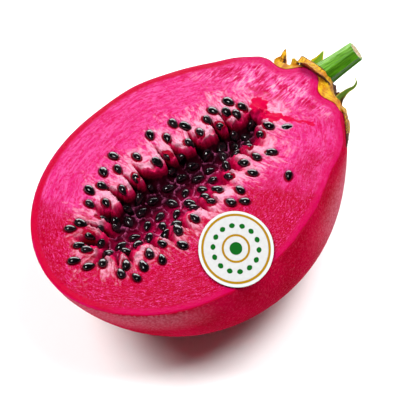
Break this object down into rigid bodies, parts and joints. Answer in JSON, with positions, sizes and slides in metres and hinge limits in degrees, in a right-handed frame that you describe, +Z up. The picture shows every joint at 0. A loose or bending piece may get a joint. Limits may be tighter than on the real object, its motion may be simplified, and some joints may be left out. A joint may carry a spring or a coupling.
{
  "type": "halved prickly pear fruit",
  "caption": "Half of a red-fleshed prickly pear cut lengthwise, lying on its skin, with a seed-filled hollow, a green stem, torn dry bracts and an oval paper sticker.",
  "frame": {"origin": "middle of the fruit's box, at the surface that it lies on", "axes": "+X along the fruit to the stem, +Z up, out of the cut face"},
  "size_m": [0.1052, 0.0698, 0.0423],
  "materials": {
    "flesh": "wet magenta fruit flesh, dull crimson skin and glossy black seeds",
    "calyx": "dry ochre plant tissue with brown edges",
    "green": "fresh green stem with a satin sheen",
    "paper": "smooth white paper with a gold ring"
  },
  "bodies": {
    "root": {"fruit_half": "flesh", "calyx": "calyx", "green_bract_curled": "green", "green_bract_upright": "green", "stem": "green", "label": "paper"}
  },
  "joints": []
}
